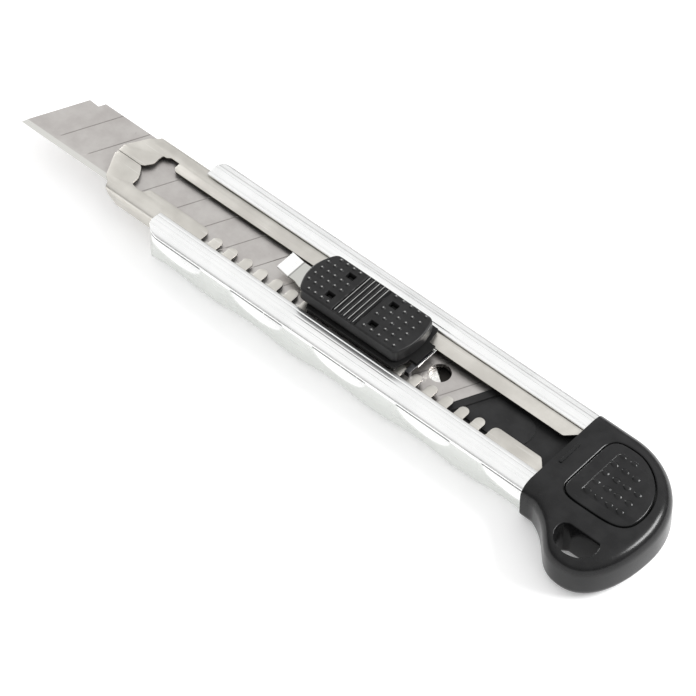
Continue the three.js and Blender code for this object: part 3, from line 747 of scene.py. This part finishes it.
def button_height(x, y, studs):
    """The button's face: round at its edges, with its ribs and the studs near this point."""
    rear, front = button_ends(y)
    inset_y, inset_x = BUTTON_HALF - abs(y), min(x - rear, front - x)
    edge = hypot(max(0, BUTTON_ROUND - inset_y), max(0, BUTTON_ROUND - inset_x))
    drop = BUTTON_ROUND - sqrt(max(0, BUTTON_ROUND**2 - edge**2))
    rise = rib_height(x) * min(1, max(0, inset_y - 0.12) / 0.3)
    for sx, sy in studs:
        away = hypot(x - sx, y - sy) / STUD_RADIUS
        if away < 1:
            rise += STUD_RISE * sqrt(1 - away**2) ** 1.2
    return BUTTON_TOP - drop + rise


def make_button():
    """The top as a fine grid between the arched ends, with its walls and floor below."""
    columns, rows = 400, 140
    studs = stud_places()
    sweep = [sin(pi / 2 * (2 * j / rows - 1)) for j in range(rows + 1)]
    vertices, faces = [], []
    for side in sweep:
        y = BUTTON_HALF * side
        rear, front = button_ends(y)
        near_studs = [s for s in studs if abs(s[1] - y) < 0.6]
        for i in range(columns + 1):
            t = i / columns
            t -= sin(2 * pi * t) / (2 * pi) * 0.5
            x = rear + (front - rear) * t
            vertices.append((x, y, button_height(x, y, near_studs)))
    wide = columns + 1
    for j in range(rows):
        for i in range(columns):
            a = j * wide + i
            faces.append((a, a + 1, a + wide + 1, a + wide))
    rim = list(range(wide))
    rim += [(j + 1) * wide - 1 for j in range(1, rows + 1)]
    rim += [rows * wide + i for i in reversed(range(columns))]
    rim += [j * wide for j in reversed(range(1, rows))]
    outline = [vertices[k][:2] for k in rim]
    upper = rim
    walls = [(0.0, 15.0), (0.05, 13.6), (0.05, BUTTON_SKIRT + 0.3), (-0.25, BUTTON_SKIRT)]
    for grow, z in walls:
        ring = [len(vertices) + k for k in range(len(rim))]
        vertices += [(x, y, z) for x, y in grown(outline, grow)]
        for k in range(len(rim)):
            m = (k + 1) % len(rim)
            faces.append((upper[k], ring[k], ring[m], upper[m]))
        upper = ring
    faces.append(tuple(upper))
    return piece("thumb_button", vertices, faces, 40)


def button_outline(inset):
    """The button's plan drawn in by inset."""
    sweep = [BUTTON_HALF * (2 * j / 40 - 1) for j in range(41)]
    ahead = [(button_ends(y)[1], y) for y in sweep]
    behind = [(button_ends(y)[0], y) for y in reversed(sweep)]
    return grown(ahead + behind, -inset)


def make_button_holes():
    """Cutters for the holes over the hooks, eased where they open in the top."""
    tools = []
    for x, y in hook_places:
        left, right, low, high = x - HOLE_X, x + HOLE_X, y - HOLE_Y, y + HOLE_Y
        corners = ((left, low), (right, low), (right, high), (left, high))
        plan = rounded([(px, py, HOLE_CORNER) for px, py in corners])
        levels = [(0, 12), (0, BUTTON_TOP - 0.2)]
        levels += [(0.06, BUTTON_TOP - 0.06), (0.2, BUTTON_TOP + 0.08)]
        tools.append(stacked("tool", plan, levels + [(0.2, BUTTON_TOP + 1)]))
    return tools


hollow = stacked("tool", button_outline(1.0), [(0, 12), (0, 14.6), (-0.4, 15.0)])
button = combine(make_button(), "DIFFERENCE", hollow, *make_button_holes())
# The rib crests above this height get a painted highlight.
highlight_from = BUTTON_TOP + 0.27
crest_highlit_black = moulded_finish("button_moulding_crest_highlight", SOFT_BLACK, 0.4, highlight_from=highlight_from)
dress(button, crest_highlit_black, "slider", "slider_button")

# ---- End cap -------------------------------------------------------------------------
# A black moulding pushed into the casing's rear: a heel that swells to the finger side,
# round shoulders, a sunk seat for its grip pad, and a D-shaped hole for a wrist cord.
cap_low, cap_high = node_box("end_cap")
CAP_FRONT, CAP_TOE = CASING_REAR, cap_low.x
CAP_FLOOR, CAP_TOP, CAP_HALF, HEEL = cap_low.z, cap_high.z, 15.4, cap_high.y
SHOULDER_WIDE, SHOULDER_DEEP = 4.4, 4.2
SOLE_ROUND = 2.8
FAR_BEND, NEAR_BEND = -71, -64  # where the straight sides end
TOE_Y, HEEL_X = 5.5, -80.5  # the outline's rearmost and widest points


def bezier(start, one, two, end, steps=18):
    """Points along a cubic curve, without its first."""
    made = []
    for k in range(1, steps + 1):
        t = k / steps
        parts = ((1 - t) ** 3, 3 * t * (1 - t) ** 2, 3 * t * t * (1 - t), t**3)
        pulls = list(zip(parts, (start, one, two, end)))
        made.append(tuple(sum(part * point[axis] for part, point in pulls) for axis in (0, 1)))
    return made


def cap_outline():
    """The cap's plan, run on past its front so that its shoulder is cut off square there."""
    lead = CAP_FRONT + 8
    outline = [(lead, -CAP_HALF)]
    outline += [(lead + (FAR_BEND - lead) * i / 12, -CAP_HALF) for i in range(1, 13)]
    toe, heel = (CAP_TOE, TOE_Y), (HEEL_X, HEEL)
    outline += bezier((FAR_BEND, -CAP_HALF), (-81, -CAP_HALF), (CAP_TOE, -8), toe, 28)
    outline += bezier(toe, (CAP_TOE, 16), (-89, HEEL), heel, 24)
    outline += bezier(heel, (-72.4, HEEL), (-73, CAP_HALF + 3.4), (NEAR_BEND, CAP_HALF), 24)
    return outline + [(NEAR_BEND + (lead - NEAR_BEND) * i / 10, CAP_HALF) for i in range(1, 11)]


CAP_PLAN = cap_outline()
CAP_RING = [Vector(p) for p in CAP_PLAN]


def cap_inset(x, y):
    """How far a point lies inside the cap's outline."""
    here = Vector((x, y))
    nearest = 1e9
    for i in range(1, len(CAP_RING)):
        start, run = CAP_RING[i - 1], CAP_RING[i] - CAP_RING[i - 1]
        if run.length < 1e-6:
            continue
        t = min(1, max(0, (here - start).dot(run) / run.length_squared))
        nearest = min(nearest, (start + run * t - here).length)
    return nearest


def shoulder_drop(inset):
    """How far the shoulder has fallen below the cap's top at this inset."""
    outside = max(0, 1 - inset / SHOULDER_WIDE)
    return SHOULDER_DEEP * (1 - (1 - outside**2.3) ** (1 / 2.3))


def cap_surface(x, y):
    """The height of the cap's top over a point."""
    return CAP_TOP - shoulder_drop(cap_inset(x, y))


def cap_levels():
    """Levels for stacked(): a round under the sole, and the shoulder."""
    sole, top = [], []
    for step in range(9):
        turn = step * pi / 16
        sole.append((-SOLE_ROUND * (1 - sin(turn)), CAP_FLOOR + SOLE_ROUND * (1 - cos(turn))))
    for k in range(15):
        inset = SHOULDER_WIDE * (1 - cos(pi / 2 * k / 14))
        top.append((-inset, CAP_TOP - shoulder_drop(inset)))
    return sole + top


def sliced(made, x):
    """Cuts a piece off square at x, keeping what is behind it."""
    work = bmesh.new()
    work.from_mesh(made.data)
    parts = [*work.verts, *work.edges, *work.faces]
    plane = {"plane_co": (x * MM, 0, 0), "plane_no": (1, 0, 0)}
    cut = bmesh.ops.bisect_plane(work, geom=parts, clear_outer=True, **plane)
    edges = [part for part in cut["geom_cut"] if isinstance(part, bmesh.types.BMEdge)]
    bmesh.ops.holes_fill(work, edges=edges)
    work.to_mesh(made.data)
    work.free()
    return smooth(made)


LOOP_FRONT, LOOP_REAR, LOOP_LONG = -75, -84.7, 9.7
LOOP_FLAT, LOOP_CROWN = 15.7, (-80, 22.8)


def lanyard_outline():
    """The D-shaped hole, its flat side towards the pad."""
    hole = bezier((LOOP_FRONT, LOOP_FLAT), (-72.8, 18.9), (LOOP_FRONT, 22.6), LOOP_CROWN, 14)
    hole += bezier(LOOP_CROWN, (-85, 22.6), (-87, 18.7), (LOOP_REAR, LOOP_FLAT), 14)
    hole += [(LOOP_REAR + LOOP_LONG * i / 14, LOOP_FLAT) for i in range(1, 14)]
    return hole + [(LOOP_FRONT, LOOP_FLAT)]


def lanyard_tool():
    """The hole's shape, flared by a round of its own all along the rim it meets."""
    rim = [(0, 1.0), (0.03, 0.42), (0.12, 0.2), (0.26, 0.07), (0.45, 0.0), (0.7, -0.12)]
    levels = [(0.9, -1), (0.7, CAP_FLOOR), (0.2, CAP_FLOOR + 0.8), (0, CAP_FLOOR + 1.6)]
    for grow, below in rim:
        levels.append((grow, lambda x, y, below=below: cap_surface(x, y) - below))
    return stacked("tool", lanyard_outline()[:-1], levels + [(0.7, CAP_TOP + 2)])


PAD_FRONT, PAD_REAR, PAD_NEAR, PAD_FAR = -67.6, -87.5, 9.8, -10.6


def pad_outline():
    """The grip pad's plan: straight in front, round behind."""
    near, rear, far = (-76, PAD_NEAR), (PAD_REAR, 3.2), (-74, PAD_FAR)
    pad = bezier((PAD_FRONT, 6.2), (PAD_FRONT, 10.4), (-72, PAD_NEAR), near)
    pad += bezier(near, (-84, PAD_NEAR), (PAD_REAR, 9.4), rear)
    pad += bezier(rear, (PAD_REAR, -4.6), (-80, PAD_FAR), far, 24)
    pad += bezier(far, (-70, PAD_FAR), (PAD_FRONT, -10.4), (PAD_FRONT, -6))
    return pad + [(PAD_FRONT, -6 + 12.2 * i / 16) for i in range(1, 17)]


def pad_seat_tool():
    """The seat under the pad, with a small round where it opens in the cap's top."""
    levels = [(0.3, CAP_TOP - 1.6)]
    for grow, below in ((0.3, 0.35), (0.36, 0.14), (0.55, 0.02), (0.7, -0.2)):
        levels.append((grow, lambda x, y, below=below: cap_surface(x, y) - below))
    return stacked("tool", pad_outline()[:-1], levels + [(0.7, CAP_TOP + 2)])


cap = sliced(stacked("heel_cap", CAP_PLAN, cap_levels()), CAP_FRONT)
spigot = box_tool(CAP_FRONT - 1, cap_high.x, -8.6, 8.6, 2.1, 4.3)
nub_corners = ((-63.0, -3.9), (-62.1, -3.9), (-62.1, 3.6), (-63.0, 3.6))
nub_plan = rounded([(x, y, 0.4) for x, y in nub_corners])
nub = stacked("tool", nub_plan, [(0, 11.5), (0, 12.2), (-0.08, 12.36), (-0.22, 12.42)])
combine(cap, "UNION", spigot, nub)
tongue_way = box_tool(CAP_FRONT - 5.6, CAP_FRONT + 1, -10, 10, 5.3, 9.2)
clip_way = box_tool(CAP_FRONT - 5.6, CAP_FRONT + 13, -3.3, 3.3, 1.7, 2.9)
combine(cap, "DIFFERENCE", lanyard_tool(), pad_seat_tool(), tongue_way, clip_way)
satin = moulded_finish("satin_black_moulding", (0.0065, 0.0065, 0.0068), 0.21, 0.004)
dress(cap, satin, "cap", "end_cap")

# ---- Cap pad -------------------------------------------------------------------------
# A grip pad pressed into the cap's seat. Behind a straight step its face stands higher
# and carries four rows of drop-shaped studs, and ahead of the step it is left smooth.
STEP_X = -71.5
DROP_ROWS = [(-72.75, -7.45, 5), (-76.05, -7.45, 5), (-79.3, -4.1, 4), (-82.5, -0.85, 3)]
DROP_PITCH = 3.33
DROP_LONG, DROP_WIDE, DROP_RISE = 1.05, 0.78, 0.42  # half sizes and height of a drop
FAINT_STUDS = [(-69.4, 3.4), (-69.6, 0.4), (-69.6, -2.6)]
PAD_LIFT, STEP_RISE, PAD_ROUND = 0.1, 0.4, 0.4
drop_places = [(x, first + DROP_PITCH * i) for x, first, count in DROP_ROWS for i in range(count)]


def pad_height(x, y, inset):
    """Face of the pad over the cap: round edge, step, drops and a few faint dots."""
    ends = min(1, max(0, (7.6 - abs(y + 0.8)) / 1.4))
    step = STEP_RISE * ends * min(1, max(0, (STEP_X + 0.1 - x) / 0.22)) * min(1, inset / 1.6)
    rise = PAD_LIFT + step
    for dx, dy in drop_places:
        along, across = x - dx, y - dy
        width = DROP_WIDE * (1 - 0.34 * along)
        away = hypot(along / DROP_LONG, across / max(width, 0.2))
        if away < 1:
            rise += DROP_RISE * sqrt(1 - away**2)
    for dx, dy in FAINT_STUDS:
        rise += 0.1 * exp(-(((x - dx) ** 2 + (y - dy) ** 2) / 0.16))
    edge = max(0, PAD_ROUND - inset)
    return rise - PAD_ROUND + sqrt(max(0, PAD_ROUND**2 - edge**2))


def make_pad():
    """The pad's face as rings drawn in from its outline, with a wall and an underside."""
    middle = Vector((-77.2, -0.2))
    outline = []
    coarse = pad_outline()
    for i, here in enumerate(coarse):
        start, end = Vector(coarse[i - 1]), Vector(here)
        parts = max(1, round((end - start).length / 0.24))
        outline += [start + (end - start) * (k + 1) / parts for k in range(parts)]
    rings = 58
    vertices, faces = [], []
    count = len(outline)
    for ring in range(rings):
        share = (ring / rings) ** 1.25
        for point in outline:
            here = point + (middle - point) * share
            inset = (point - here).length
            z = cap_surface(here.x, here.y) + pad_height(here.x, here.y, inset)
            vertices.append((here.x, here.y, z))
    vertices.append((middle.x, middle.y, cap_surface(*middle) + pad_height(*middle, 9)))
    for ring in range(rings - 1):
        for i in range(count):
            j = (i + 1) % count
            low, high = ring * count, (ring + 1) * count
            faces.append((low + i, low + j, high + j, high + i))
    last = (rings - 1) * count
    faces += [(last + i, last + (i + 1) % count, len(vertices) - 1) for i in range(count)]
    floor = len(vertices)
    vertices += [(point.x, point.y, CAP_TOP - 1.5) for point in outline]
    faces += [(floor + i, floor + (i + 1) % count, (i + 1) % count, i) for i in range(count)]
    faces.append(tuple(floor + i for i in reversed(range(count))))
    return piece("grip_pad", vertices, faces, 50)


dress(make_pad(), satin, "cap", "cap_pad")

# ---- Studio --------------------------------------------------------------------------
# A white table, a bright even surround, two soft lights, and a long lens from above the
# heel's side. The knife lies on its flat back.


def make_table():
    """A wide white sheet just under the knife, in metres."""
    half = 3.0
    flat = bpy.data.meshes.new("table_top")
    level = -0.0003
    corners = [(x * half, y * half, level) for x, y in ((-1, -1), (1, -1), (1, 1), (-1, 1))]
    flat.from_pydata(corners, [], [(0, 1, 2, 3)])
    table = bpy.data.objects.new("table_top", flat)
    bpy.context.scene.collection.objects.link(table)
    paper = Finish("white_paper", Emission_Color=(1, 1, 1, 1), Emission_Strength=0.22)
    fibre = paper.place.noise(0.8, 3, 0.6)
    tone = fibre.band(0.3, 0.7).tint((0.93, 0.93, 0.93), (0.95, 0.95, 0.95))
    table.data.materials.append(paper.feed(Base_Color=tone, Roughness=0.8 + fibre * 0.1))


def soft_light(name, place, aim, size, power):
    """A rectangular light, its place, aim and size in metres."""
    data = bpy.data.lights.new(name, "AREA")
    data.shape = "RECTANGLE"
    data.size, data.size_y = size
    data.energy = power
    lamp = bpy.data.objects.new(name, data)
    lamp.location = place
    lamp.rotation_euler = (Vector(aim) - Vector(place)).to_track_quat("-Z", "Y").to_euler()
    bpy.context.scene.collection.objects.link(lamp)


make_table()
surround = bpy.data.worlds.new("surround")
surround.use_nodes = True
sky = Wire(surround.node_tree)
height = sky.node("SeparateXYZ", inputs={0: sky.node("TexCoord", output=0)}, output=2)
strength = 0.2 + height.band(0.0, 0.7) * 0.8
backdrop = surround.node_tree.nodes["Background"]
backdrop.inputs["Color"].default_value = (1, 1, 1, 1)
surround.node_tree.links.new(strength.socket, backdrop.inputs["Strength"])
bpy.context.scene.world = surround
soft_light("heel_strip", (-0.62, -0.5, 0.58), (-0.02, 0, 0), (0.55, 0.22), 9.0)
soft_light("front_box", (0.95, -0.4, 0.2), (0, 0, 0.01), (0.3, 0.25), 3.0)
bpy.context.scene.view_settings.view_transform = "Standard"

CAMERA_AZIMUTH, CAMERA_ELEVATION, CAMERA_DISTANCE = 221.56, 50.82, 1200
CAMERA_TARGET = Vector((5.15, 1.93, -2.2))
SENSOR, LENS = 36, 256.262  # a very long lens, so that the knife's edges stay nearly parallel


def make_camera():
    turn, rise = math.radians(CAMERA_AZIMUTH), math.radians(CAMERA_ELEVATION)
    away = Vector((sin(turn) * cos(rise), -cos(turn) * cos(rise), sin(rise)))
    data = bpy.data.cameras.new("camera")
    data.sensor_width = SENSOR
    data.lens = LENS
    data.clip_start, data.clip_end = 0.05, 20
    camera = bpy.data.objects.new("camera", data)
    camera.location = (CAMERA_TARGET + away * CAMERA_DISTANCE) * MM
    camera.rotation_euler = (-away).to_track_quat("-Z", "Y").to_euler()
    bpy.context.scene.collection.objects.link(camera)
    bpy.context.scene.camera = camera


make_camera()
